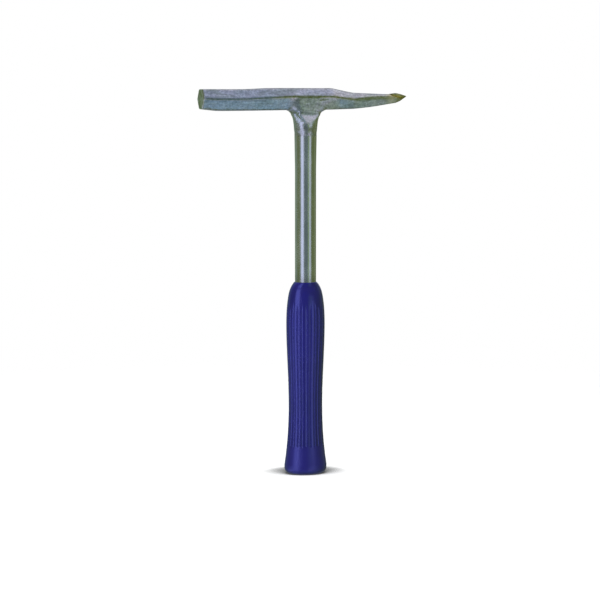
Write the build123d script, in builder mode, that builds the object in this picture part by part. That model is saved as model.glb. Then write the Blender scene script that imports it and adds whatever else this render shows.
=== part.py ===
from build123d import *
import os

# A brick hammer: a forged head with a hexagonal poll and a pick, on a tubular shaft with a fluted grip.
# The hammer stands on its butt. +Z runs up the shaft, the striking face points to -X and the pick to +X.
# The origin is the middle of the butt's rest face. Sizes are in millimetres.

# ---- Head: the stations are square to X, and each is a hexagon with flats at top and bottom ----------
HEAD_TOP = 329.8
HEAD_UNDERSIDE = 311.2
RIDGE_HEIGHT = 322.5
FLAT_SHARE = 0.5            # half width of the top and bottom flats, as a share of the half width at the ridges
STRIKING_FACE_X = -93.3
FACE_EDGE_CHAMFER = 0.8
SEAT_X = 77.0               # where the seat of the brazed tip starts

# Each station: x, height of the top flat, of the ridge and of the bottom flat, half width at the ridges.
# The poll is drawn with straight lines from station to station, and the shoulder and the pick as smooth stretches.
POLL = [
    (STRIKING_FACE_X, 328.7, 320.3, 312.0, 9.7),
    (-79.0, 328.7, 320.0, 310.5, 10.5),
    (-54.0, 328.8, 320.2, 310.7, 10.7),
    (-34.0, 329.7, 321.3, 310.9, 10.9),
    (-15.0, HEAD_TOP, RIDGE_HEIGHT, HEAD_UNDERSIDE, 11.0),
    (22.0, HEAD_TOP, RIDGE_HEIGHT, 311.5, 11.0),
]
SHOULDER = [
    (22.0, HEAD_TOP, RIDGE_HEIGHT, 311.5, 11.0),
    (32.0, 327.7, 321.0, 311.8, 10.2),
    (42.0, 325.9, 320.4, 312.1, 9.2),
]
PICK = [
    (42.0, 325.9, 320.4, 312.1, 9.2),
    (57.0, 325.3, 322.3, 313.5, 6.8),
    (SEAT_X, 324.7, 322.7, 316.5, 4.2),
]

# ---- Neck under the head ------------------------------------------------------------------------------
NECK_END = 289.0            # height of the seam between neck and tube
NECK_R = 9.45
# Each section: height, half width along X, half width along Y.
NECK = [
    (NECK_END, NECK_R, NECK_R),
    (296.0, 10.0, 9.6),
    (302.0, 10.75, 9.8),
    (306.5, 12.1, 9.8),
    (309.5, 14.3, 8.2),
    (311.5, 18.0, 5.7),
]
# The pads are flat cheeks forged over the neck, from just under the ridges to below the head.
PADS = [
    (299.5, 4.6, 9.3),
    (307.0, 10.2, 10.9),
    (321.9, 11.0, 10.9),
]
PAD_CORNER_R = 2.5
SPIGOT_LENGTH = 25.0
SEAM_CHAMFER = 0.15

# ---- Tip ------------------------------------------------------------------------------------------------
# Stations as for the head. The tip is the part above the seat, which slopes from the pick's top to the point.
POINT = [
    (SEAT_X, 324.9, 322.7, 316.5, 4.2),
    (82.0, 325.6, 321.8, 317.3, 4.3),
    (86.0, 324.9, 321.9, 318.8, 3.2),
    (92.2, 323.2, 322.9, 322.6, 0.4),
]
SEAT_HEIGHT = 323.9         # height of the seat at SEAT_X
SEAT_SLOPE = 15.6           # fall of the seat towards the point, in degrees
SEAT_REACH = 20.0           # length along the slope, past the point

# ---- Shaft tube -----------------------------------------------------------------------------------------
TUBE_R = 9.0
TUBE_BORE_R = 7.0
TUBE_TAPER_END = 262.0      # the tube is parallel below this height
TUBE_BOTTOM = 10.0
TUBE_EDGE = 0.4

# ---- Bung in the tube's lower end -----------------------------------------------------------------------
BUNG_FLANGE = 2.0
BUNG_STEM_LENGTH = 14.0
BUNG_STEM_EDGE = 0.8

# ---- Grip -----------------------------------------------------------------------------------------------
GRIP_TOP = 165.0
GRIP_OVAL = 0.8             # the grip is narrower along Y, by this factor
FLARE_R = 18.5
FLARE_HEIGHT = 8.0
# The half width along X from the mouth, over the shoulder and the waist, to the flared butt.
GRIP_OUTLINE = [
    (9.6, GRIP_TOP),
    (13.0, 160.2),
    (15.35, 151.5),
    (16.8, 126.0),
    (14.8, 70.0),
    (16.15, 27.0),
    (FLARE_R, FLARE_HEIGHT),
]
# The mouth is a round collar that runs into the oval shoulder.
COLLAR_TOP_R = 9.6
COLLAR_LOW_R = 10.9
COLLAR_LOW = 154.0
BUTT_DROP = 0.8             # the butt's edge stands this far above its rest face
BUTT_EDGE_R = 5.0
REST_R = 11.0
TRIM = 1.0                  # stock under the rest face, cut off flat after the form is pressed to its oval
FLUTE_COUNT = 26
FLUTE_DEPTH = 0.7
FLUTE_ANGLE = 6.0           # width of one flute, in degrees round the grip
FLUTE_START = (360 / FLUTE_COUNT - FLUTE_ANGLE) / 2
FLUTE_BOTTOM = 23.6
FLUTE_FADE = 141.0          # above this height the flutes run straight up and out of the shoulder
FLUTE_FADE_R = 15.4

os.makedirs("parts", exist_ok=True)


# The pointed end of the head, and the space above the seat.
with BuildPart() as point_form:
    for x, top, ridge, bottom, half_width in POINT:
        with BuildSketch(Plane.YZ.offset(x)):
            with BuildLine():
                Polyline(
                    (half_width * FLAT_SHARE, top),
                    (half_width, ridge),
                    (half_width * FLAT_SHARE, bottom),
                    (-half_width * FLAT_SHARE, bottom),
                    (-half_width, ridge),
                    (-half_width * FLAT_SHARE, top),
                    close=True,
                )
            make_face()
    loft(ruled=True)
with BuildPart() as seat_space:
    with BuildSketch(Plane.XZ):
        with BuildLine():
            seat_line = PolarLine((SEAT_X, SEAT_HEIGHT), SEAT_REACH, angle=-SEAT_SLOPE)
            Polyline(seat_line @ 1, ((seat_line @ 1).X, HEAD_TOP), (SEAT_X, HEAD_TOP), seat_line @ 0)
        make_face()
    extrude(amount=HEAD_TOP - HEAD_UNDERSIDE, both=True)

# Forged head with its neck and spigot.
with BuildPart() as hammer_head:
    for stations, straight in ((POLL, True), (SHOULDER, False), (PICK, False)):
        for x, top, ridge, bottom, half_width in stations:
            with BuildSketch(Plane.YZ.offset(x)):
                with BuildLine():
                    Polyline(
                        (half_width * FLAT_SHARE, top),
                        (half_width, ridge),
                        (half_width * FLAT_SHARE, bottom),
                        (-half_width * FLAT_SHARE, bottom),
                        (-half_width, ridge),
                        (-half_width * FLAT_SHARE, top),
                        close=True,
                    )
                make_face()
        loft(ruled=straight)
    chamfer(faces().sort_by(Axis.X)[0].edges(), length=FACE_EDGE_CHAMFER)
    add(point_form.part)
    add(seat_space.part, mode=Mode.SUBTRACT)
    for height, half_x, half_y in NECK:
        with BuildSketch(Plane.XY.offset(height)):
            Ellipse(half_x, half_y)
    loft()
    for height, half_x, half_y in PADS:
        with BuildSketch(Plane.XY.offset(height)):
            RectangleRounded(2 * half_x, 2 * half_y, PAD_CORNER_R)
    loft(ruled=True)
    chamfer(faces().sort_by(Axis.Z)[0].edges(), length=SEAM_CHAMFER)
    with BuildSketch(Plane.XY.offset(NECK_END)):
        Circle(TUBE_BORE_R)
    extrude(amount=-SPIGOT_LENGTH)
hammer_head.part.label = "hammer_head"
export_step(hammer_head.part, "parts/hammer_head.step")

# Hard-metal tip: a plate brazed on the seat.
with BuildPart() as pick_tip:
    add(point_form.part)
    add(seat_space.part, mode=Mode.INTERSECT)
pick_tip.part.label = "pick_tip"
export_step(pick_tip.part, "parts/pick_tip.step")

# Tubular shaft, swelling a little towards the neck. Its bore is fitted to the spigot.
with BuildPart() as shaft_tube:
    with BuildSketch(Plane.XZ):
        with BuildLine():
            Polyline(
                (TUBE_BORE_R, TUBE_BOTTOM),
                (TUBE_R - TUBE_EDGE, TUBE_BOTTOM),
                (TUBE_R, TUBE_BOTTOM + TUBE_EDGE),
                (TUBE_R, TUBE_TAPER_END),
                (NECK_R, NECK_END - SEAM_CHAMFER),
                (NECK_R - SEAM_CHAMFER, NECK_END),
                (TUBE_BORE_R, NECK_END),
                close=True,
            )
        make_face()
    revolve(axis=Axis.Z)
shaft_tube.part.label = "shaft_tube"
export_step(shaft_tube.part, "parts/shaft_tube.step")

# Bung that closes the tube's lower end.
with BuildPart() as tube_bung:
    with BuildSketch(Plane.XY.offset(TUBE_BOTTOM - BUNG_FLANGE)):
        Circle(TUBE_R)
    extrude(amount=BUNG_FLANGE)
    with BuildSketch(Plane.XY.offset(TUBE_BOTTOM)):
        Circle(TUBE_BORE_R)
    extrude(amount=BUNG_STEM_LENGTH)
    chamfer(faces().sort_by(Axis.Z)[-1].edges(), length=BUNG_STEM_EDGE)
tube_bung.part.label = "tube_bung"
export_step(tube_bung.part, "parts/tube_bung.step")

# The grip's outer form while it is still round, and the same form with its side moved in by the flutes' depth.
with BuildPart() as grip_form:
    with BuildSketch(Plane.XZ):
        with BuildLine():
            Spline(*GRIP_OUTLINE)
            Polyline(
                (FLARE_R, FLARE_HEIGHT),
                (FLARE_R, BUTT_DROP),
                (REST_R, 0.0),
                (REST_R, -TRIM),
                (0.0, -TRIM),
                (0.0, GRIP_TOP),
                GRIP_OUTLINE[0],
            )
        make_face()
        fillet(vertices().sort_by(Axis.X)[-2:].sort_by(Axis.Y)[0], radius=BUTT_EDGE_R)
    revolve(axis=Axis.Z)
with BuildPart() as flute_floor:
    with BuildSketch(Plane.XZ):
        with BuildLine():
            floor_line = Spline(*[(radius - FLUTE_DEPTH, height) for radius, height in GRIP_OUTLINE])
            Polyline(floor_line @ 1, (0.0, FLARE_HEIGHT), (0.0, GRIP_TOP), floor_line @ 0)
        make_face()
    revolve(axis=Axis.Z)

# One flute: a narrow sector between the two forms.
with BuildPart() as flute:
    with BuildSketch(Plane.XZ):
        with BuildLine():
            Polyline(
                (TUBE_R, FLUTE_BOTTOM),
                (FLARE_R, FLUTE_BOTTOM),
                (FLARE_R, GRIP_TOP),
                (FLUTE_FADE_R, GRIP_TOP),
                (FLUTE_FADE_R, FLUTE_FADE),
                (TUBE_R, FLUTE_FADE),
                close=True,
            )
        make_face()
    revolve(axis=Axis.Z, revolution_arc=FLUTE_ANGLE)
    add(flute_floor.part, mode=Mode.SUBTRACT)

# The fluted form, pressed to an oval and trimmed flat at the butt.
with BuildPart() as oval_form:
    add(grip_form.part)
    with PolarLocations(0, FLUTE_COUNT, start_angle=FLUTE_START):
        add(flute.part, mode=Mode.SUBTRACT)
    scale(by=(1.0, GRIP_OVAL, 1.0))
    split(bisect_by=Plane.XY, keep=Keep.TOP)

# Moulded grip: a sleeve over the tube, with a round collar at the mouth, closed at the butt.
with BuildPart() as grip:
    add(oval_form.part)
    with BuildSketch(Plane.XZ):
        with BuildLine():
            Polyline(
                (0.0, COLLAR_LOW),
                (COLLAR_LOW_R, COLLAR_LOW),
                (COLLAR_TOP_R, GRIP_TOP),
                (0.0, GRIP_TOP),
                close=True,
            )
        make_face()
    revolve(axis=Axis.Z)
    with BuildSketch(Plane.XY.offset(TUBE_BOTTOM - BUNG_FLANGE)):
        Circle(TUBE_R)
    extrude(amount=GRIP_TOP, mode=Mode.SUBTRACT)
grip.part.label = "grip"
export_step(grip.part, "parts/grip.step")
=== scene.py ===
import math

import bmesh
import bpy
import numpy as np
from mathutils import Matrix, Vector, noise
from mathutils.bvhtree import BVHTree


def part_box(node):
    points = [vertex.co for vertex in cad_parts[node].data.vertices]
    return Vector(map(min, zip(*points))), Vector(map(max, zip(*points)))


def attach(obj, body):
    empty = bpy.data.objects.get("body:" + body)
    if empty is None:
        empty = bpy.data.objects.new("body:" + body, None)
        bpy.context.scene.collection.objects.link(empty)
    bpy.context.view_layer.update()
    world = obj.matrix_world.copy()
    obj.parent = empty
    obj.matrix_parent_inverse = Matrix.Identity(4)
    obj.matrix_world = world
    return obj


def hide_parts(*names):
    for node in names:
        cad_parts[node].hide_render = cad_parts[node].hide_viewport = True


# The brick hammer's looks, built round its CAD frame: a forged head, a brazed tip, a steel tube with its bung,
# and a moulded grip. Everything is in metres. +Z runs up the shaft, the striking face looks to -X and the pick
# points to +X.
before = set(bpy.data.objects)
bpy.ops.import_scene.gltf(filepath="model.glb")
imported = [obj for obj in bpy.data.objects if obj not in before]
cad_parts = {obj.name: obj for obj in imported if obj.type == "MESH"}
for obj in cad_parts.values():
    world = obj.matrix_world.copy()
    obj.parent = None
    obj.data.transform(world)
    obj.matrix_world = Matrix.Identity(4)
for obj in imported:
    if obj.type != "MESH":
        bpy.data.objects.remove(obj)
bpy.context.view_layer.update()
MM = 0.001


# ---- Camera --------------------------------------------------------------------------------------------
# It is level with the head and turned so that the striking face is nearer than the pick.
CAMERA_AZIMUTH = math.radians(-20)
CAMERA_DISTANCE = 1.85
CAMERA_HEIGHT = 0.32
CAMERA_LENS = 130.36
AIM_HEIGHT = 0.1494
AIM_LEFT = 0.0047

to_camera = Vector((math.sin(CAMERA_AZIMUTH), -math.cos(CAMERA_AZIMUTH), 0))
to_right = Vector((math.cos(CAMERA_AZIMUTH), math.sin(CAMERA_AZIMUTH), 0))
camera_data = bpy.data.cameras.new("camera")
camera_data.lens = CAMERA_LENS
camera = bpy.data.objects.new("camera", camera_data)
bpy.context.scene.collection.objects.link(camera)
camera.location = to_camera * CAMERA_DISTANCE + Vector((0, 0, CAMERA_HEIGHT))
aim = Vector((0, 0, AIM_HEIGHT)) - to_right * AIM_LEFT
camera.rotation_euler = (aim - camera.location).to_track_quat("-Z", "Y").to_euler()
bpy.context.scene.camera = camera


# ---- Node helpers --------------------------------------------------------------------------------------
def add_node(tree, kind, sockets=None, **settings):
    """A node with its settings, and with each named socket linked or given a value."""
    made = tree.nodes.new(kind)
    for key, value in settings.items():
        setattr(made, key, value)
    for key, value in (sockets or {}).items():
        if isinstance(value, bpy.types.NodeSocket):
            tree.links.new(value, made.inputs[key])
        else:
            made.inputs[key].default_value = value
    return made


def maths(tree, operation, a, b=0.0, clamp=False):
    return add_node(tree, "ShaderNodeMath", {0: a, 1: b}, operation=operation, use_clamp=clamp).outputs[0]


def product(tree, a, b):
    return maths(tree, "MULTIPLY", a, b)


def stretched(tree, vector, scale):
    """The coordinates times a scale on each axis."""
    return add_node(tree, "ShaderNodeVectorMath", {0: vector, 1: scale}, operation="MULTIPLY").outputs[0]


def noise_value(tree, vector, scale, detail=2.0, roughness=0.5):
    sockets = {"Vector": vector, "Scale": scale, "Detail": detail, "Roughness": roughness}
    return add_node(tree, "ShaderNodeTexNoise", sockets).outputs["Fac"]


def spread(tree, value, low, high, out_low=0.0, out_high=1.0):
    """value taken from low..high to out_low..out_high, smoothly and clamped."""
    sockets = {"Value": value, "From Min": low, "From Max": high, "To Min": out_low, "To Max": out_high}
    return add_node(tree, "ShaderNodeMapRange", sockets, interpolation_type="SMOOTHSTEP").outputs[0]


def mixed(tree, factor, a, b, blend_type="MIX"):
    """Colour a turned to colour b by factor."""
    made = add_node(tree, "ShaderNodeMix", data_type="RGBA", blend_type=blend_type)
    for index, value in ((0, factor), (6, a), (7, b)):
        if isinstance(value, bpy.types.NodeSocket):
            tree.links.new(value, made.inputs[index])
        elif isinstance(value, tuple):
            made.inputs[index].default_value = (*value, 1.0)
        else:
            made.inputs[index].default_value = value
    return made.outputs[2]


def bumped(tree, height, distance, normal=None):
    """A bump from a height of 0 to 1. distance is how far 1 stands above 0. normal is the bump under it."""
    sockets = {"Height": height, "Distance": distance, "Strength": 1.0}
    if normal is not None:
        sockets["Normal"] = normal
    return add_node(tree, "ShaderNodeBump", sockets).outputs[0]


def new_material(name, metallic):
    """A material with one Principled shader. Returns it, its tree, the shader and the coordinates."""
    made = bpy.data.materials.new(name)
    made.use_nodes = True
    tree = made.node_tree
    tree.nodes.clear()
    shader = add_node(tree, "ShaderNodeBsdfPrincipled", {"Metallic": metallic})
    add_node(tree, "ShaderNodeOutputMaterial", {"Surface": shader.outputs[0]})
    place = add_node(tree, "ShaderNodeTexCoord").outputs["Object"]
    return made, tree, shader, place


def set_looks(tree, shader, colour, roughness, normal):
    tree.links.new(colour, shader.inputs["Base Color"])
    tree.links.new(roughness, shader.inputs["Roughness"])
    tree.links.new(normal, shader.inputs["Normal"])


# ---- Materials -----------------------------------------------------------------------------------------
def above_seat(tree, x, z, seat):
    """Height above the sloping seat of the tip, in metres. seat holds two (x, height) points."""
    (x0, z0), (x1, z1) = seat
    slope = (z1 - z0) / (x1 - x0)
    line = maths(tree, "ADD", product(tree, maths(tree, "SUBTRACT", x, x0), slope), z0)
    return maths(tree, "SUBTRACT", z, line)


def forged_steel(face_x, seam_z, seat):
    """Blue-grey plated forging: mottled scale, fine grain, pits and worn edges, a ground striking face, a
    painted dark reflection on the ridge and painted shade under the pick's end.
    """
    made, tree, shader, place = new_material("forged_steel", 1.0)
    x, _, z = add_node(tree, "ShaderNodeSeparateXYZ", {0: place}).outputs
    geometry = add_node(tree, "ShaderNodeNewGeometry").outputs
    seat_x = seat[0][0]

    # Marks all over the forging.
    blotch = noise_value(tree, place, 55.0, 3.0)
    mottle = noise_value(tree, stretched(tree, place, (0.8, 1.0, 1.0)), 620.0, 2.0, 0.55)
    streak = noise_value(tree, stretched(tree, place, (0.16, 1.0, 1.0)), 700.0, 2.0)
    grain = noise_value(tree, place, 1500.0, 4.0, 0.65)
    pits = spread(tree, noise_value(tree, place, 900.0, 2.0), 0.70, 0.76)
    scale_marks = noise_value(tree, stretched(tree, place, (0.35, 1.0, 1.0)), 190.0, 3.0)
    scale_marks = spread(tree, scale_marks, 0.48, 0.68)
    worn = spread(tree, geometry["Pointiness"], 0.515, 0.56)
    hollow = spread(tree, geometry["Pointiness"], 0.49, 0.44)

    # Colours that keep to one place: the ridge line, darkened as a painted reflection; the neck; the pick's
    # end, with painted shade on its underside; the braze and the ground face.
    ridge = add_node(tree, "ShaderNodeAttribute", attribute_name="ridge").outputs["Fac"]
    ridge = product(tree, ridge, spread(tree, mottle, 0.25, 0.6, 1.0, 0.70))
    to_pick = spread(tree, x, -40 * MM, -20 * MM)
    bright = spread(tree, z, seam_z + 19 * MM, seam_z + 16 * MM)
    bright = product(tree, bright, spread(tree, z, seam_z + 2 * MM, seam_z + 13 * MM, 0.25, 1.0))
    tinted = spread(tree, x, seat_x - 9 * MM, seat_x + 3 * MM)
    # Painted shade: facets that face downwards near the pick's end turn dark olive.
    upward = add_node(tree, "ShaderNodeSeparateXYZ", {0: geometry["Normal"]}).outputs[2]
    painted_underside_shade = product(tree, spread(tree, upward, -0.3, -0.65), tinted)
    over_seat = maths(tree, "ADD", above_seat(tree, x, z, seat), product(tree, mottle, 0.8 * MM))
    at_seat = spread(tree, x, seat_x - 1.2 * MM, seat_x + 0.4 * MM)
    braze = product(tree, spread(tree, over_seat, -0.7 * MM, 0.1 * MM), at_seat)
    ground = spread(tree, x, face_x + 0.9 * MM, face_x + 0.3 * MM)
    grinding = noise_value(tree, stretched(tree, place, (1.0, 1.0, 0.08)), 2600.0, 2.0)
    stained = spread(tree, noise_value(tree, place, 170.0, 3.0), 0.45, 0.60)

    colour = mixed(tree, spread(tree, blotch, 0.35, 0.65), (0.42, 0.45, 0.50), (0.50, 0.49, 0.55))
    colour = mixed(tree, product(tree, scale_marks, 0.7), colour, (0.36, 0.40, 0.42))
    tone = spread(tree, mottle, 0.3, 0.7, 0.80, 1.20)
    tone = product(tree, tone, spread(tree, streak, 0.3, 0.7, 0.84, 1.16))
    tone = product(tree, tone, spread(tree, grain, 0.3, 0.7, 0.86, 1.16))
    colour = mixed(tree, 1.0, colour, tone, "MULTIPLY")
    colour = mixed(tree, product(tree, pits, 0.6), colour, (0.12, 0.13, 0.12))
    colour = mixed(tree, product(tree, worn, 0.25), colour, (0.52, 0.53, 0.52))
    colour = mixed(tree, product(tree, hollow, 0.4), colour, (0.24, 0.26, 0.26))
    # Painted reflection: the ridge between a cheek's flats is painted dark, bluish on the poll side and olive
    # on the pick side.
    painted_ridge_reflection = mixed(tree, to_pick, (0.20, 0.27, 0.32), (0.22, 0.24, 0.06))
    colour = mixed(tree, product(tree, ridge, 0.95), colour, painted_ridge_reflection)
    colour = mixed(tree, product(tree, bright, 0.6), colour, (0.60, 0.61, 0.66))
    colour = mixed(tree, product(tree, tinted, 0.7), colour, (0.57, 0.51, 0.28))
    colour = mixed(tree, product(tree, painted_underside_shade, 0.8), colour, (0.10, 0.11, 0.05))
    face_colour = mixed(tree, spread(tree, grinding, 0.35, 0.65), (0.43, 0.44, 0.42), (0.63, 0.63, 0.63))
    face_colour = mixed(tree, product(tree, stained, 0.8), face_colour, (0.26, 0.28, 0.14))
    colour = mixed(tree, ground, colour, face_colour)
    colour = mixed(tree, product(tree, braze, 0.85), colour, (0.46, 0.36, 0.12))

    rough = spread(tree, grain, 0.3, 0.7, 0.26, 0.38)
    rough = maths(tree, "ADD", rough, product(tree, scale_marks, 0.08))
    rough = maths(tree, "SUBTRACT", rough, product(tree, worn, 0.06))
    rough = maths(tree, "SUBTRACT", rough, product(tree, bright, 0.08), clamp=True)

    normal = bumped(tree, grain, 0.035 * MM)
    normal = bumped(tree, mottle, 0.11 * MM, normal)
    normal = bumped(tree, streak, 0.05 * MM, normal)
    normal = bumped(tree, product(tree, pits, -1.0), 0.06 * MM, normal)
    set_looks(tree, shader, colour, rough, normal)
    return made


def hard_metal(seat):
    """Ground hard metal: olive-grey with grinding marks, painted shade at its start and braze at its seat."""
    made, tree, shader, place = new_material("hard_metal", 1.0)
    x, _, z = add_node(tree, "ShaderNodeSeparateXYZ", {0: place}).outputs
    seat_x = seat[0][0]
    grain = noise_value(tree, place, 2400.0, 3.0, 0.6)
    patches = noise_value(tree, place, 260.0, 3.0)
    slant = add_node(tree, "ShaderNodeMapping", {"Vector": place, "Rotation": (0.0, math.radians(28), 0.0)})
    grinding = noise_value(tree, stretched(tree, slant.outputs[0], (1.0, 0.06, 0.06)), 3200.0, 2.0)
    wander = product(tree, maths(tree, "SUBTRACT", patches, 0.5), 1.6 * MM)
    braze = spread(tree, maths(tree, "ADD", above_seat(tree, x, z, seat), wander), 1.7 * MM, 0.9 * MM)
    # Painted shade: the tip darkens over its first 3 mm, where it meets the forging.
    painted_start_shade = spread(tree, x, seat_x + 3.0 * MM, seat_x + 0.4 * MM)
    edge = spread(tree, add_node(tree, "ShaderNodeNewGeometry").outputs["Pointiness"], 0.52, 0.60)

    colour = mixed(tree, spread(tree, patches, 0.3, 0.7), (0.16, 0.18, 0.05), (0.28, 0.29, 0.12))
    colour = mixed(tree, spread(tree, grinding, 0.4, 0.7, 0.0, 0.35), colour, (0.46, 0.44, 0.34))
    colour = mixed(tree, braze, colour, (0.38, 0.34, 0.06))
    colour = mixed(tree, product(tree, painted_start_shade, 0.8), colour, (0.07, 0.07, 0.03))
    colour = mixed(tree, product(tree, edge, 0.3), colour, (0.58, 0.57, 0.48))
    rough = spread(tree, grinding, 0.3, 0.7, 0.28, 0.42)
    rough = maths(tree, "ADD", rough, product(tree, braze, 0.08))
    normal = bumped(tree, grinding, 0.02 * MM)
    normal = bumped(tree, grain, 0.02 * MM, normal)
    set_looks(tree, shader, colour, rough, normal)
    return made


def tube_steel(seam_z, mouth_z):
    """Bright drawn tube: lengthwise marks, scuffs, a heat tint at the seam, and darker towards the grip's
    mouth.
    """
    made, tree, shader, place = new_material("tube_steel", 1.0)
    z = add_node(tree, "ShaderNodeSeparateXYZ", {0: place}).outputs[2]
    marks = noise_value(tree, stretched(tree, place, (1.0, 1.0, 0.02)), 1900.0, 3.0, 0.6)
    grain = noise_value(tree, place, 1500.0, 3.0, 0.6)
    cloud = noise_value(tree, stretched(tree, place, (1.0, 1.0, 0.45)), 90.0, 3.0)
    scuffs = noise_value(tree, stretched(tree, place, (1.0, 1.0, 0.25)), 420.0, 4.0, 0.7)
    scuffs = spread(tree, scuffs, 0.62, 0.72)
    heated = spread(tree, z, seam_z - 16 * MM, seam_z - 1 * MM)
    darker_at_mouth = spread(tree, z, mouth_z + 9 * MM, mouth_z)

    colour = mixed(tree, spread(tree, cloud, 0.35, 0.65), (0.56, 0.58, 0.62), (0.66, 0.67, 0.72))
    colour = mixed(tree, spread(tree, marks, 0.45, 0.75, 0.0, 0.35), colour, (0.38, 0.41, 0.42))
    colour = mixed(tree, product(tree, scuffs, 0.45), colour, (0.36, 0.38, 0.38))
    colour = mixed(tree, product(tree, heated, 0.15), colour, (0.44, 0.40, 0.36))
    # The tube turns darker towards the grip's mouth.
    colour = mixed(tree, product(tree, darker_at_mouth, 0.40), colour, (0.22, 0.22, 0.22))
    rough = spread(tree, cloud, 0.3, 0.7, 0.20, 0.27)
    rough = maths(tree, "ADD", rough, product(tree, scuffs, 0.10))
    rough = maths(tree, "ADD", rough, spread(tree, grain, 0.4, 0.7, 0.0, 0.05))
    normal = bumped(tree, marks, 0.006 * MM)
    normal = bumped(tree, grain, 0.012 * MM, normal)
    set_looks(tree, shader, colour, rough, normal)
    return made


def bung_plastic():
    """Matte black moulded plastic with a fine spark-eroded texture."""
    made, tree, shader, place = new_material("bung_plastic", 0.0)
    grain = noise_value(tree, place, 2200.0, 3.0, 0.6)
    colour = mixed(tree, grain, (0.020, 0.020, 0.021), (0.036, 0.036, 0.038))
    rough = spread(tree, grain, 0.3, 0.7, 0.5, 0.65)
    set_looks(tree, shader, colour, rough, bumped(tree, grain, 0.02 * MM))
    return made


def grip_plastic(butt_z):
    """Deep blue moulded PVC: a soft sheen, a fine orange-peel, scuffs, rubbed ribs, painted shade in the
    flutes, and a butt painted lighter against the shade on its flare.
    """
    made, tree, shader, place = new_material("grip_plastic", 0.0)
    shader.inputs["Specular IOR Level"].default_value = 1.0
    shader.inputs["IOR"].default_value = 1.8
    shader.inputs["Specular Tint"].default_value = (0.32, 0.36, 1.0, 1.0)
    shader.inputs["Coat Weight"].default_value = 0.2
    shader.inputs["Coat Roughness"].default_value = 0.12
    z = add_node(tree, "ShaderNodeSeparateXYZ", {0: place}).outputs[2]
    cloud = noise_value(tree, place, 45.0, 3.0)
    peel = noise_value(tree, place, 900.0, 2.0)
    grain = noise_value(tree, place, 3200.0, 2.0, 0.6)
    flow = noise_value(tree, stretched(tree, place, (1.0, 1.0, 0.08)), 240.0, 3.0)
    scuffs = noise_value(tree, stretched(tree, place, (1.0, 1.0, 0.3)), 330.0, 4.0, 0.7)
    scuffs = spread(tree, scuffs, 0.60, 0.72)
    edge = add_node(tree, "ShaderNodeNewGeometry").outputs["Pointiness"]
    rubbed = spread(tree, edge, 0.505, 0.53)
    sunk = spread(tree, edge, 0.49, 0.46)
    stood = spread(tree, z, butt_z + 3.5 * MM, butt_z)
    plain = spread(tree, z, butt_z + 26 * MM, butt_z + 22 * MM)
    below_shoulder = spread(tree, z, 148 * MM, 130 * MM)

    colour = mixed(tree, spread(tree, cloud, 0.35, 0.65), (0.010, 0.005, 0.145), (0.013, 0.007, 0.175))
    colour = mixed(tree, spread(tree, flow, 0.5, 0.75, 0.0, 0.25), colour, (0.014, 0.016, 0.210))
    colour = mixed(tree, product(tree, rubbed, 0.20), colour, (0.024, 0.030, 0.250))
    # Painted shade: the flutes' hollows turn a dark blue.
    colour = mixed(tree, product(tree, sunk, 0.30), colour, (0.006, 0.005, 0.060))
    colour = mixed(tree, product(tree, scuffs, 0.12), colour, (0.045, 0.052, 0.250))
    # Painted light: below the flutes the butt is painted a lighter blue, to make up for the shade on its
    # flare.
    colour = mixed(tree, product(tree, plain, 0.7), colour, (0.020, 0.012, 0.205))
    colour = mixed(tree, product(tree, stood, 0.20), colour, (0.035, 0.035, 0.095))
    rough = spread(tree, cloud, 0.3, 0.7, 0.17, 0.22)
    rough = maths(tree, "ADD", rough, product(tree, below_shoulder, 0.06))
    rough = maths(tree, "ADD", rough, product(tree, plain, 0.14))
    rough = maths(tree, "ADD", rough, product(tree, scuffs, 0.05))
    rough = maths(tree, "ADD", rough, product(tree, sunk, 0.10))
    normal = bumped(tree, peel, 0.025 * MM)
    normal = bumped(tree, grain, 0.008 * MM, normal)
    set_looks(tree, shader, colour, rough, normal)
    return made


# ---- Mesh helpers --------------------------------------------------------------------------------------
def eased(value):
    """0 to 1, with a soft start and end."""
    value = np.clip(value, 0, 1)
    return value * value * (3 - 2 * value)


def ramp(values, stations, levels):
    """The levels at some stations, given in millimetres, and straight between them."""
    return np.interp(values, np.array(stations) * MM, levels)


def new_object(name, mesh):
    made = bpy.data.objects.new(name, mesh)
    bpy.context.scene.collection.objects.link(made)
    return made


def remeshed(node, name, voxel, smoothing):
    """A new object with the shape of a CAD node, as an even mesh with softened edges."""
    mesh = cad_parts[node].data.copy()
    mesh.materials.clear()
    form = bmesh.new()
    form.from_mesh(mesh)
    bmesh.ops.remove_doubles(form, verts=form.verts, dist=1e-7)
    form.to_mesh(mesh)
    form.free()
    source = new_object(name, mesh)
    even = source.modifiers.new("even", "REMESH")
    even.mode = "VOXEL"
    even.voxel_size = voxel
    soft = source.modifiers.new("soft", "SMOOTH")
    soft.factor = 1.0
    soft.iterations = smoothing
    graph = bpy.context.evaluated_depsgraph_get()
    result = bpy.data.meshes.new_from_object(source.evaluated_get(graph), depsgraph=graph)
    source.modifiers.clear()
    source.data = result
    bpy.data.meshes.remove(mesh)
    result.name = name
    result.shade_smooth()
    return source


def points_of(mesh):
    points = np.empty(len(mesh.vertices) * 3)
    mesh.vertices.foreach_get("co", points)
    return points.reshape(-1, 3)


def normals_of(mesh):
    normals = np.empty(len(mesh.vertices) * 3)
    mesh.vertices.foreach_get("normal", normals)
    return normals.reshape(-1, 3)


def move_points(mesh, offsets):
    """Moves each vertex along its normal by its offset."""
    moved = points_of(mesh) + normals_of(mesh) * offsets[:, None]
    mesh.vertices.foreach_set("co", moved.ravel())
    mesh.update()


def noise_at(points, wavelength, seed):
    """Smooth noise from -1 to 1 at each point. seed is a vector that picks a stretch of the noise."""
    return np.array([noise.noise(Vector(p / wavelength) + seed) for p in points])


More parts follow.
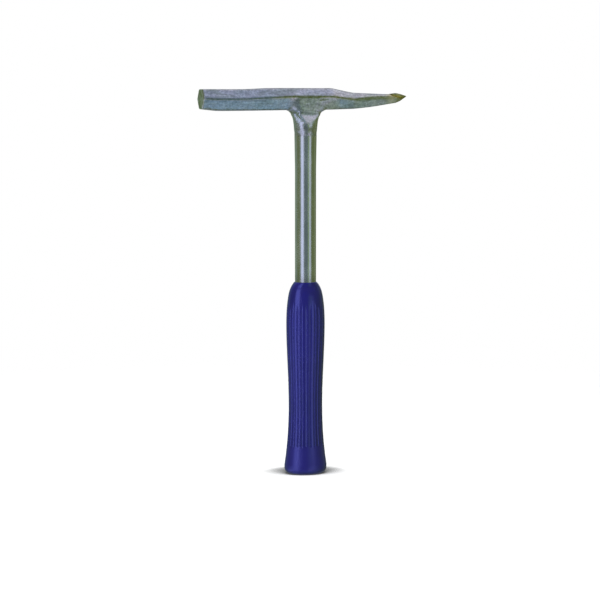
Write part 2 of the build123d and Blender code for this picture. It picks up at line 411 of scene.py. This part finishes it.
def turned(name, outline, columns, depths, ovals):
    """A closed mesh turned round Z from (radius, height) points. The first and last lie on the axis.
    depths gives how far each inner point moves inward in each column, and ovals narrows each ring along Y."""
    angles = np.arange(columns) * 2 * math.pi / columns
    radii = np.array([r for r, _ in outline[1:-1]])[:, None] - depths
    heights = np.array([z for _, z in outline[1:-1]])[:, None].repeat(columns, 1)
    across = radii * np.sin(angles) * ovals[:, None]
    ring_points = np.stack([radii * np.cos(angles), across, heights], axis=2).reshape(-1, 3)
    points = [(0.0, 0.0, outline[0][1]), *map(tuple, ring_points), (0.0, 0.0, outline[-1][1])]
    rows = len(outline) - 2
    faces = []
    for j in range(columns):
        k = (j + 1) % columns
        faces.append((0, 1 + k, 1 + j))
        faces += [
            (1 + i * columns + j, 1 + i * columns + k, 1 + (i + 1) * columns + k, 1 + (i + 1) * columns + j)
            for i in range(rows - 1)
        ]
        last = 1 + (rows - 1) * columns
        faces.append((last + j, last + k, len(points) - 1))
    mesh = bpy.data.meshes.new(name)
    mesh.from_pydata(points, [], faces)
    mesh.shade_smooth()
    return new_object(name, mesh)


# ---- Head ----------------------------------------------------------------------------------------------
head_low, head_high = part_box("hammer_head")
tube_low, tube_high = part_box("shaft_tube")
grip_low, grip_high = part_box("grip")
seam_height = tube_high[2]


def seat_line():
    """Two (x, height) points of the seat: the tip's lower edge at its start, and its lowest point."""
    corners = [v.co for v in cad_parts["pick_tip"].data.vertices]
    start = min(corners, key=lambda c: (round(c.x, 5), c.z))
    end = min(corners, key=lambda c: c.z)
    return (start.x, start.z), (end.x, end.z)


seat = seat_line()
HEAD_VOXEL = 0.36 * MM
SMOOTHINGS = (50, 230, 900)
PAD_HALF_Y = 10.85 * MM
PAD_LOW = 307.5 * MM
PAD_HIGH = 322 * MM


def head_softness(x, y, z, filled):
    """How far each point is softened, from 0 to 3. The neck's corners and the pads' sides get the most."""
    above_seam = z - seam_height
    softness = ramp(x, [-48, -34, 36, 50], [1.8, 1.0, 0.9, 0.5])
    softness = np.minimum(softness, ramp(x - head_low[0], [0.8, 2.5, 9], [0.0, 0.8, 1.8]))
    softness = np.minimum(softness, ramp(seat[0][0] - x, [0.5, 9], [0.0, 1.0]))
    in_neck = (np.abs(x) < 20 * MM) & (z < 319 * MM)
    softness = np.where(in_neck & (above_seam > 14 * MM), np.minimum(softness, 0.5), softness)
    hollow = np.clip((filled - 0.05 * MM) / (0.3 * MM), 0, 1) * in_neck
    softness = softness + (2.0 - softness) * hollow
    beside_pad = ramp(np.abs(x), [5, 8, 15, 20], [0, 1, 1, 0])
    beside_pad *= ramp(z, [308, 311, 314, 320], [0, 1, 1, 0])
    beside_pad *= ramp(np.abs(y), [3, 6], [0, 1])
    softness = softness + (3.0 - softness) * beside_pad
    return np.minimum(softness, ramp(above_seam, [1, 6, 8, 14, 17], [0.0, 1.0, 1.0, 2.0, 3.0]))


def softened_points(mesh):
    """The mesh's points, each between the two smoothings of the forging that its softness asks for."""
    levels = [points_of(mesh)]
    for smoothing in SMOOTHINGS:
        softened = remeshed("hammer_head", "softened_head", HEAD_VOXEL, smoothing)
        levels.append(points_of(softened.data))
        bpy.data.objects.remove(softened)
    filled = np.sum((levels[2] - levels[0]) * normals_of(mesh), axis=1)
    softness = head_softness(*levels[0].T, filled)
    points = levels[0]
    for step, level in enumerate(levels[1:]):
        part = np.clip(softness - step, 0, 1)[:, None]
        points = points * (1 - part) + level * part
    return points


def run_out(points):
    """Carries the flat pads out along the cheeks, so that they run into poll and pick without a step."""
    x, y, z = points.T
    reach = np.where(x < 0, eased((x + 21 * MM) / (16 * MM)), eased((30 * MM - x) / (22 * MM)))
    reach = reach * eased((z - PAD_LOW) / (4 * MM)) * eased((PAD_HIGH - z) / (3 * MM))
    reach = reach * eased((np.abs(y) - 2 * MM) / (3 * MM))
    out = np.abs(y) + np.maximum(PAD_HALF_Y - np.abs(y), 0) * reach
    points[:, 1] = np.sign(y) * out


def meet_tube(points, z):
    """Brings the neck's lower end to the tube's radius, for a flush seam. z holds the unsoftened heights."""
    radius = np.hypot(points[:, 0], points[:, 1])
    seam_r = tube_high[0] - 0.03 * MM
    above = z - seam_height
    proud = np.max(radius[(above > 0.4 * MM) & (above < 0.9 * MM)]) - seam_r
    free = eased((above - 0.6 * MM) / (5.4 * MM))
    wanted = np.where(above < 0.6 * MM, seam_r, np.maximum(radius - proud * (1 - free), seam_r))
    rim = (above > -0.7 * MM) & (above < 6 * MM) & (radius > seam_r - 1.1 * MM)
    points[rim, :2] *= (wanted / radius)[rim, None]


def add_waves(mesh, points, x, z):
    """The forged skin's slight waves and dimples. The seam, the ground face and the seat stay true."""
    waves = noise_at(points, 13 * MM, Vector((3.1, 0.7, 5.2)))
    dimples = noise_at(points, 3.6 * MM, Vector((8.3, 2.9, 1.4)))
    above_seam = np.clip((z - seam_height - 1.5 * MM) / (6 * MM), 0, 1)
    behind_face = np.clip((x - head_low[0] - 0.5 * MM) / (2 * MM), 0, 1)
    before_seat = np.clip((seat[0][0] - x) / (4 * MM), 0, 1)
    forged = above_seam * behind_face * before_seat
    move_points(mesh, forged * (waves * 0.10 * MM + dimples * 0.05 * MM - 0.03 * MM))


def ridge_height(x):
    """Height of the ridge between the two flats of a cheek, along the head."""
    stations = [-93, -79, -54, -15, 22, 32, 42, 57, 77]
    heights = np.array([320.3, 320.0, 320.2, 322.5, 322.5, 321.0, 320.4, 322.3, 322.7]) * MM
    return ramp(x, stations, heights)


def mark_ridge(mesh, x, y, z):
    """The attribute "ridge" is 1 on the line between a cheek's two flats, and 0 away from it. The forging's
    material paints a dark reflection there.
    """
    half_width = ramp(x, [-48, -30, 40, 52], np.array([1.9, 1.4, 1.3, 2.0]) * MM)
    middle = ridge_height(x) - ramp(x, [40, 52], np.array([0, 0.8]) * MM)
    near_ridge = np.clip(1.3 - np.abs(z - middle) / half_width, 0, 1)
    on_side = (np.abs(y) > 1.2 * MM) & (x > head_low[0] + 1.5 * MM)
    ridge = mesh.attributes.new("ridge", "FLOAT", "POINT")
    ridge.data.foreach_set("value", near_ridge * on_side)


def make_head():
    """The forging: rounded edges, filled corners at the neck, a crisp ground face, slight waves, dimples."""
    made = remeshed("hammer_head", "forged_head", HEAD_VOXEL, 2)
    x, y, z = points_of(made.data).T
    points = softened_points(made.data)
    run_out(points)
    meet_tube(points, z)
    # The striking face and the head's back stay just inside the CAD box.
    points[:, 0] = np.maximum(points[:, 0], head_low[0] + 0.001 * MM)
    points[:, 2] = np.minimum(points[:, 2], head_high[2] - 0.02 * MM)
    made.data.vertices.foreach_set("co", points.ravel())
    made.data.update()
    add_waves(made.data, points, x, z)
    mark_ridge(made.data, x, y, z)
    made.data.set_sharp_from_angle(angle=math.radians(60))
    made.data.materials.append(forged_steel(head_low[0], seam_height, seat))
    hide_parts("hammer_head")
    return made


def make_tip():
    """The hard-metal tip, with its ground edges just broken."""
    made = remeshed("pick_tip", "brazed_tip", 0.14 * MM, 3)
    made.data.materials.append(hard_metal(seat))
    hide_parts("pick_tip")
    return made


# ---- Shaft tube ----------------------------------------------------------------------------------------
TUBE_BORE_R = 7.0 * MM
TUBE_EDGE = 0.35 * MM
TUBE_COLUMNS = 160


def node_tree(node):
    """A CAD node's surface, for rays."""
    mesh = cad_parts[node].data
    return BVHTree.FromPolygons([v.co for v in mesh.vertices], [p.vertices for p in mesh.polygons])


def side_radius(surface, height, angle=0.0):
    """The outer radius of a surface at a height, found by a ray from outside towards the axis."""
    outward = Vector((math.cos(angle), math.sin(angle), 0.0))
    hit = surface.ray_cast(outward * 0.1 + Vector((0, 0, height)), -outward)[0]
    return math.hypot(hit.x, hit.y)


def make_tube():
    """The tube as a closed turned form, with its bore, a broken lower edge and a square top at the seam."""
    surface = node_tree("shaft_tube")
    low, high = tube_low[2], tube_high[2]
    heights = np.concatenate([
        np.linspace(low + TUBE_EDGE, high - 30 * MM, 40),
        np.linspace(high - 29 * MM, high - 0.2 * MM, 30),
    ])
    outside = [(side_radius(surface, z), z) for z in heights]
    low_r = outside[0][0]
    top_r = outside[-1][0]
    outline = [
        (TUBE_BORE_R, low),
        (low_r - TUBE_EDGE, low),
        *outside,
        (top_r, high),
        (TUBE_BORE_R, high),
        (TUBE_BORE_R, high - 0.2 * MM),
        (TUBE_BORE_R, low + 0.2 * MM),
    ]
    angles = np.arange(TUBE_COLUMNS) * 2 * math.pi / TUBE_COLUMNS
    points = [(r * math.cos(a), r * math.sin(a), z) for r, z in outline for a in angles]
    faces = []
    for i in range(len(outline)):
        ring = i * TUBE_COLUMNS
        next_ring = (i + 1) % len(outline) * TUBE_COLUMNS
        for j in range(TUBE_COLUMNS):
            k = (j + 1) % TUBE_COLUMNS
            faces.append((ring + j, ring + k, next_ring + k, next_ring + j))
    mesh = bpy.data.meshes.new("drawn_tube")
    mesh.from_pydata(points, [], faces)
    mesh.shade_smooth()
    mesh.set_sharp_from_angle(angle=math.radians(40))
    made = new_object("drawn_tube", mesh)
    made.data.materials.append(tube_steel(seam_height, grip_high[2]))
    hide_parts("shaft_tube")
    return made


# ---- Grip ----------------------------------------------------------------------------------------------
FLUTES = 26
FLUTE_DEPTH = 0.40 * MM
FLUTE_LOW = 23.6 * MM
FLUTE_HIGH = 151.0 * MM
FLUTE_NARROWNESS = 5
COLUMNS_A_FLUTE = 14
MOUTH_GAP = 0.03 * MM
BORE_FLOOR = 8.0 * MM
INSIDE_THE_BOX = 0.9993     # keeps the ribs beside the Y axis just inside the CAD box
LAND_BESIDE_Y = math.radians(90 - 180 / FLUTES)     # the land between two flutes that is nearest to the Y axis


def make_grip():
    """The moulded sleeve: flutes that fade out on the shoulder and end square above the butt."""
    surface = node_tree("grip")
    top = grip_high[2]
    tube_r = side_radius(node_tree("shaft_tube"), top)
    # The rings stand closer together at the butt's edge, at the flutes' ends and on the shoulder.
    heights = np.concatenate([
        [0.04 * MM, 0.12 * MM, 0.25 * MM, 0.42 * MM],
        np.linspace(0.65 * MM, 8 * MM, 22),
        np.linspace(8.8 * MM, 24 * MM, 18),
        np.linspace(24.3 * MM, 28 * MM, 14),
        np.linspace(29 * MM, 139 * MM, 110),
        np.linspace(139.6 * MM, 153 * MM, 26),
        np.linspace(153.6 * MM, top - 0.15 * MM, 26),
    ])
    radii = np.array([side_radius(surface, z) for z in heights])
    inner = slice(26, -4)       # the rings away from the butt's edge and the mouth, which are evened out
    weights = np.ones(5) / 5
    radii[inner] = np.convolve(radii, weights, "same")[inner]
    sides = np.array([side_radius(surface, z, LAND_BESIDE_Y) for z in heights])
    half_y = sides * math.sin(LAND_BESIDE_Y) / np.sqrt(1 - (sides * math.cos(LAND_BESIDE_Y) / radii) ** 2)
    squash = half_y / radii
    squash[inner] = np.convolve(squash, weights, "same")[inner]
    rest_r = radii[0]
    rest_rings = 2
    outer_rings = rest_rings + len(heights)
    outline = [
        (0.0, 0.0),
        (rest_r * 0.5, 0.0),
        (rest_r * 0.97, 0.0),
        *zip(radii, heights),
        (radii[-1] - 0.2 * MM, top - 0.02 * MM),
        (tube_r + 0.25 * MM, top),
        (tube_r + MOUTH_GAP, top - 0.2 * MM),
        (tube_r + MOUTH_GAP, top - 3 * MM),
        (tube_r + MOUTH_GAP, BORE_FLOOR + 0.2 * MM),
        (tube_r * 0.6, BORE_FLOOR),
        (0.0, BORE_FLOOR),
    ]
    columns = FLUTES * COLUMNS_A_FLUTE
    phase = np.arange(columns) * 2 * math.pi / COLUMNS_A_FLUTE
    groove = (0.5 - 0.5 * np.cos(phase)) ** FLUTE_NARROWNESS
    z = np.array([p[1] for p in outline[1:-1]])
    outer = np.arange(len(z)) < outer_rings
    amount = outer * eased((z - FLUTE_LOW) / (1.2 * MM)) * eased((FLUTE_HIGH - z) / (13 * MM))
    ovals = np.ones(len(z))
    ovals[rest_rings:outer_rings] = squash
    ovals[:rest_rings] = squash[0]
    ovals *= INSIDE_THE_BOX
    depths = amount[:, None] * groove[None, :] * FLUTE_DEPTH
    made = turned("moulded_grip", outline, columns, depths, ovals)
    made.data.materials.append(grip_plastic(grip_low[2]))
    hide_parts("grip")
    return made


# ---- Light and floor -----------------------------------------------------------------------------------
def direction(right_of_camera, height):
    """A unit vector from the hammer, turned to the camera's right and raised, both in degrees."""
    a, e = math.radians(right_of_camera), math.radians(height)
    flat = to_camera * math.cos(a) + to_right * math.sin(a)
    return flat * math.cos(e) + Vector((0, 0, math.sin(e)))


def softbox(name, right_of_camera, height, distance, size, power):
    """An area light that shades the matt surfaces. The metal mirrors the surround and not the light."""
    data = bpy.data.lights.new(name, "AREA")
    data.shape = "RECTANGLE"
    data.size, data.size_y = size
    data.energy = power
    made = bpy.data.objects.new(name, data)
    bpy.context.scene.collection.objects.link(made)
    made.visible_glossy = False
    centre = Vector((0, 0, 0.2))
    made.location = centre + direction(right_of_camera, height) * distance
    made.rotation_euler = (centre - made.location).to_track_quat("-Z", "Y").to_euler()


def cosine(degrees):
    return math.cos(math.radians(degrees))


def sine(degrees):
    return math.sin(math.radians(degrees))


def facing(tree, vector, towards):
    """The cosine of the angle between a node's vector and a fixed direction."""
    made = add_node(tree, "ShaderNodeVectorMath", {0: vector, 1: towards}, operation="DOT_PRODUCT")
    return made.outputs["Value"]


def glow(tree, outward, surround, right_of_camera, height, reach, colour):
    """The surround with a soft round patch of another colour. reach is its inner and outer angle."""
    near = facing(tree, outward, direction(right_of_camera, height))
    factor = spread(tree, near, cosine(reach[1]), cosine(reach[0]))
    return mixed(tree, factor, surround, colour)


def strip(tree, outward, surround, right_of_camera, half_width, low, high, colour):
    """The surround with an upright soft-edged strip of another colour, between two heights in degrees."""
    flat = stretched(tree, outward, (1, 1, 0))
    level = add_node(tree, "ShaderNodeVectorMath", {0: flat}, operation="NORMALIZE")
    near = facing(tree, level.outputs[0], direction(right_of_camera, 0))
    factor = spread(tree, near, cosine(half_width + 4), cosine(half_width - 4))
    rise = add_node(tree, "ShaderNodeSeparateXYZ", {0: outward}).outputs[2]
    factor = product(tree, factor, spread(tree, rise, sine(low - 5), sine(low + 5)))
    factor = product(tree, factor, spread(tree, rise, sine(high + 5), sine(high - 5)))
    return mixed(tree, factor, surround, colour)


# The surround that the metal mirrors. Each patch gives its tone to the flats and curves that mirror it, and a
# later one lies over those before it. All angles are in degrees.
SURROUND = (0.17, 0.21, 0.08)
GLOWS = [   # right of the camera, height, inner and outer reach, colour
    (0, 90, (8, 20), (0.40, 0.44, 0.50)),
    (168, 36, (22, 46), (0.40, 0.44, 0.50)),
    (172, -46, (18, 36), (0.30, 0.34, 0.39)),
    (12, 0, (20, 34), (0.15, 0.20, 0.20)),
    (40, 0, (8, 16), (0.31, 0.46, 0.18)),
    (-140, 0, (20, 45), (0.25, 0.34, 0.22)),
    (98, 57, (15, 30), (1.12, 1.08, 1.08)),
    (53, 59, (12, 23), (0.47, 0.56, 0.76)),
    (74, -40, (8, 26), (0.36, 0.46, 0.34)),
    (72, -24, (6, 16), (0.33, 0.44, 0.34)),
    (8, -44, (8, 18), (0.36, 0.50, 0.62)),
    (45, -54, (6, 15), (0.36, 0.62, 0.88)),
    (39, -25, (7, 14), (1.10, 1.04, 1.22)),
    (-84, -29, (11, 20), (0.80, 0.90, 1.12)),
    (-61, -23, (8, 14), (0.80, 0.90, 1.12)),
    (-82, -64, (12, 24), (0.40, 0.49, 0.62)),
]
STRIPS = [  # right of the camera, half width, lowest and highest point, colour
    (-116, 10, -16, 50, (0.25, 0.30, 0.24)),
    (118, 10, -30, 50, (0.26, 0.31, 0.17)),
    (-35, 15, -45, 35, (0.92, 0.99, 1.26)),
    (51, 8, -16, 5, (0.78, 0.86, 1.02)),
]


def make_world():
    """A white backdrop for the camera, and the dim surround with its patches for the metal to mirror."""
    world = bpy.data.worlds.new("studio")
    bpy.context.scene.world = world
    world.use_nodes = True
    tree = world.node_tree
    tree.nodes.clear()
    outward = add_node(tree, "ShaderNodeTexCoord").outputs["Generated"]
    surround = SURROUND
    for patch in GLOWS:
        surround = glow(tree, outward, surround, *patch)
    for patch in STRIPS:
        surround = strip(tree, outward, surround, *patch)
    rays = add_node(tree, "ShaderNodeLightPath").outputs
    # Matt surfaces take only a fifth of the surround's light, and the rest from the softboxes.
    strength = spread(tree, rays["Is Diffuse Ray"], 0.0, 1.0, 1.0, 0.2)
    lit = add_node(tree, "ShaderNodeBackground", {"Color": surround, "Strength": strength}).outputs[0]
    plain = add_node(tree, "ShaderNodeBackground", {"Color": (1, 1, 1, 1), "Strength": 1.0}).outputs[0]
    both = add_node(tree, "ShaderNodeMixShader", {0: rays["Is Camera Ray"], 1: lit, 2: plain})
    add_node(tree, "ShaderNodeOutputWorld", {"Surface": both.outputs[0]})


FLOOR_RADIUS = 0.9
SHADOW_REACH = 24 * MM
SHADOW_POWER = 4.6


def paper():
    """Pale paper with a contact shadow. It clears towards the disc's rim, to run into the backdrop."""
    made = bpy.data.materials.new("paper")
    made.use_nodes = True
    tree = made.node_tree
    tree.nodes.clear()
    place = add_node(tree, "ShaderNodeTexCoord").outputs["Object"]
    reach = add_node(tree, "ShaderNodeVectorMath", {0: place}, operation="LENGTH").outputs["Value"]
    clear = spread(tree, reach, 0.3, 0.8)
    # The shadow is looked for upwards and towards the camera, so it lies beside and behind the butt.
    leaning = (to_camera * 2.2 + Vector((0, 0, 1))).normalized()
    lean = add_node(tree, "ShaderNodeCombineXYZ", {0: leaning.x, 1: leaning.y, 2: leaning.z}).outputs[0]
    openness = add_node(tree, "ShaderNodeAmbientOcclusion", {"Distance": SHADOW_REACH, "Normal": lean})
    lightness = maths(tree, "POWER", openness.outputs["AO"], SHADOW_POWER)
    tone = mixed(tree, lightness, (0.04, 0.04, 0.04), (0.92, 0.92, 0.92))
    matte = add_node(tree, "ShaderNodeBsdfDiffuse", {"Color": tone}).outputs[0]
    shine = add_node(tree, "ShaderNodeEmission", {"Color": tone, "Strength": 0.55}).outputs[0]
    sheet = add_node(tree, "ShaderNodeAddShader", {0: matte, 1: shine}).outputs[0]
    away = add_node(tree, "ShaderNodeBsdfTransparent").outputs[0]
    both = add_node(tree, "ShaderNodeMixShader", {0: clear, 1: sheet, 2: away})
    add_node(tree, "ShaderNodeOutputMaterial", {"Surface": both.outputs[0]})
    return made


def make_floor():
    """A paper disc under the hammer. The hammer neither mirrors it nor takes light from it."""
    mesh = bpy.data.meshes.new("floor")
    disc = bmesh.new()
    bmesh.ops.create_circle(disc, cap_ends=True, segments=96, radius=FLOOR_RADIUS)
    disc.to_mesh(mesh)
    disc.free()
    mesh.materials.append(paper())
    floor = new_object("floor", mesh)
    floor.visible_glossy = False
    floor.visible_diffuse = False


pieces = [make_head(), make_tip(), make_tube(), make_grip()]
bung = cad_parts["tube_bung"]
bung.data.materials.clear()
bung.data.materials.append(bung_plastic())
for piece in pieces:
    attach(piece, "root")
make_world()
make_floor()
softbox("wash", -20, 2, 1.2, (0.5, 1.0), 11.0)
softbox("top", 0, 90, 1.0, (1.4, 1.4), 12.0)
bpy.context.scene.view_settings.view_transform = "Standard"
